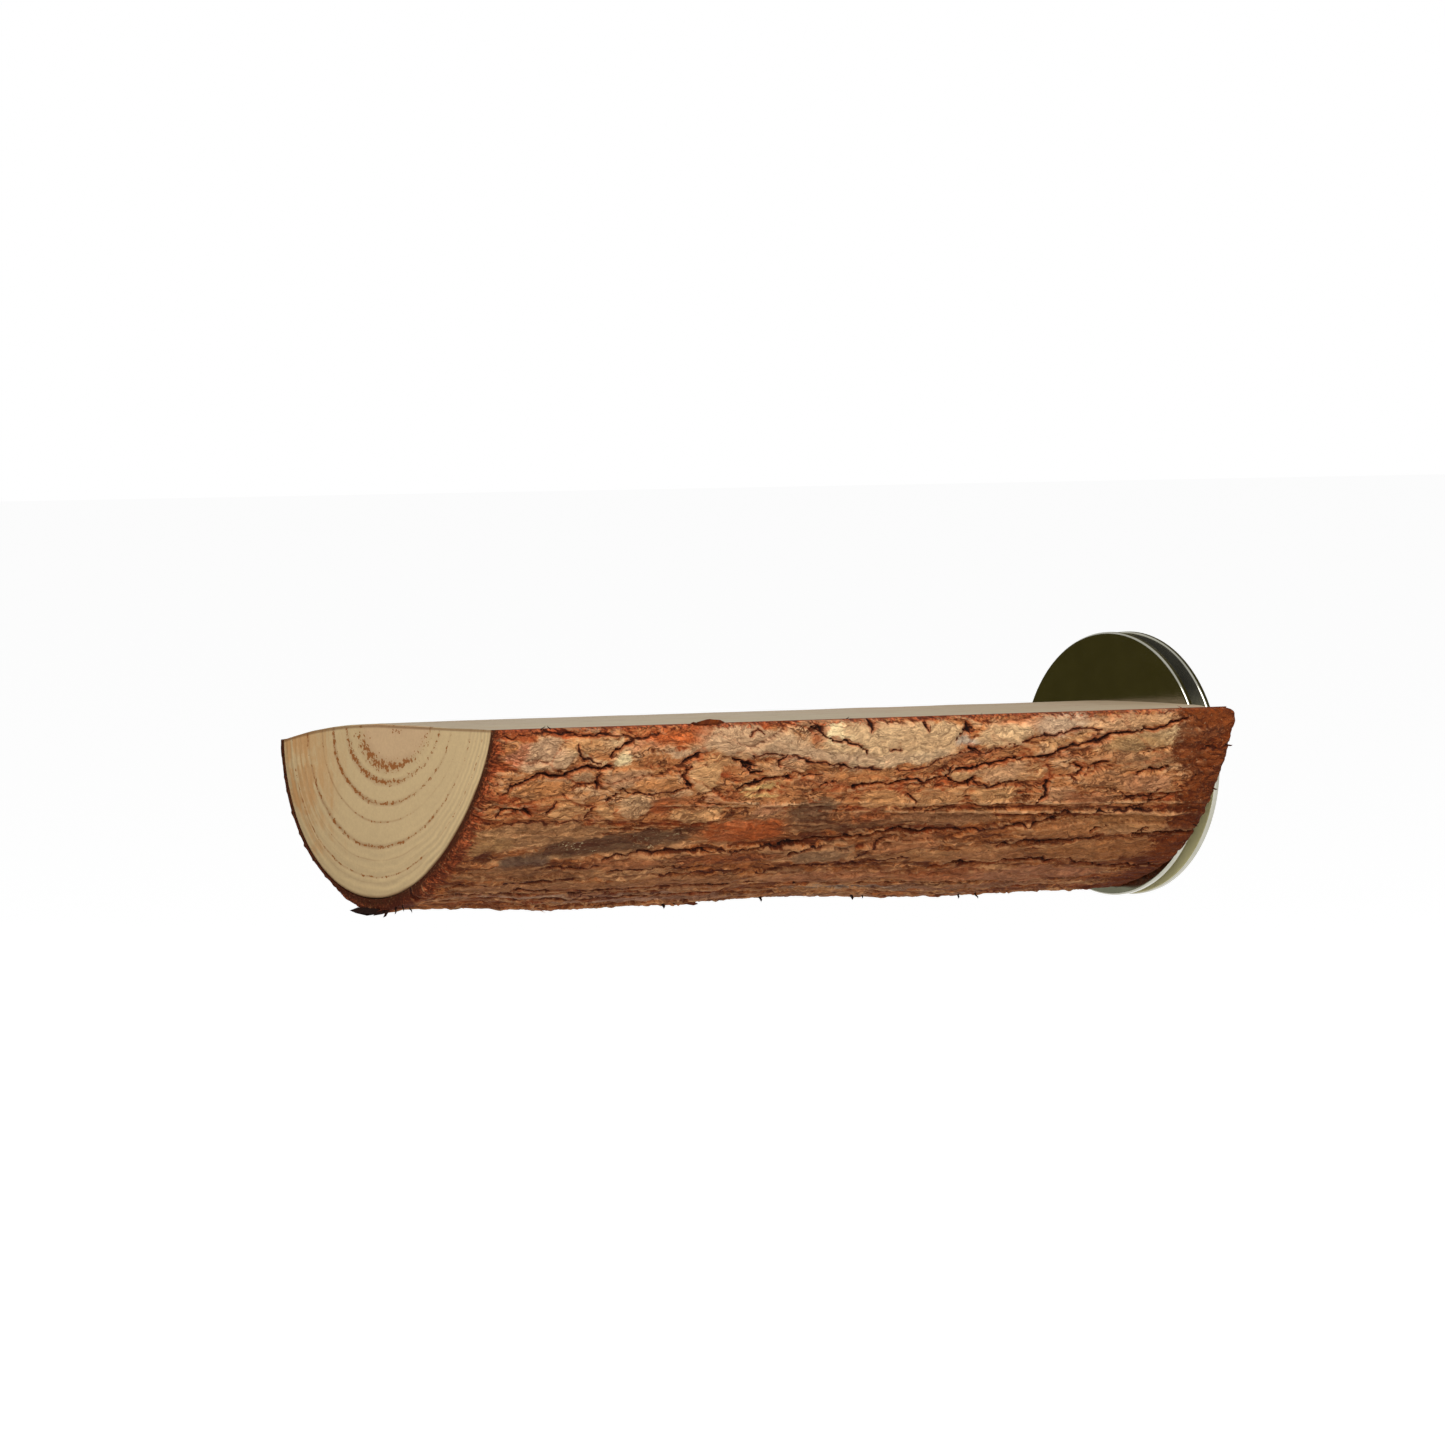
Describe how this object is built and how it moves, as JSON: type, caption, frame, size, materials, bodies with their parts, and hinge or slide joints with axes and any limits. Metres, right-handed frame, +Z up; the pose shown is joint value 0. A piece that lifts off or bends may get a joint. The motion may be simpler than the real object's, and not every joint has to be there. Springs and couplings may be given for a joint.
{
  "type": "bird perch",
  "caption": "Half-log bird perch with its bark on, clamped to cage bars by a hanger bolt, wide washers and a wing nut.",
  "frame": {"origin": "on the bolt's axis, at the outer face of the inner washer, where the cage bars bear", "axes": "+Y along the bolt, out of the cage; +Z up, the sawn top of the log faces up; +X to the log's wider side"},
  "size_m": [0.0505, 0.1529, 0.038],
  "materials": {
    "wood": "sawn and sanded, unfinished",
    "bark": "rough natural bark",
    "steel": "smooth stainless steel",
    "zinc": "bright zinc plating"
  },
  "bodies": {
    "perch": {"half_log": "wood", "bark": "bark", "hanger_bolt": "zinc"},
    "inner_washer": {"inner_washer": "steel"},
    "outer_washer": {"outer_washer": "steel"},
    "wing_nut": {"wing_nut": "zinc"}
  },
  "joints": [
    {"name": "inner_washer_slide", "type": "slide", "parent": "perch", "child": "inner_washer", "axis": [0, 1, 0], "range_m": [0, 0.0011]},
    {"name": "outer_washer_slide", "type": "slide", "parent": "perch", "child": "outer_washer", "axis": [0, 1, 0], "range_m": [-0.0012, 0.0091]},
    {"name": "wing_nut_turn", "type": "hinge", "parent": "outer_washer", "child": "wing_nut", "pos_m": [0, 0, 0], "axis": [0, 1, 0], "range_deg": [-396, 3240]}
  ],
  "couplings": [
    {"joint": "outer_washer_slide", "follows": "wing_nut_turn", "m_per_rad": 0.00015915}
  ]
}
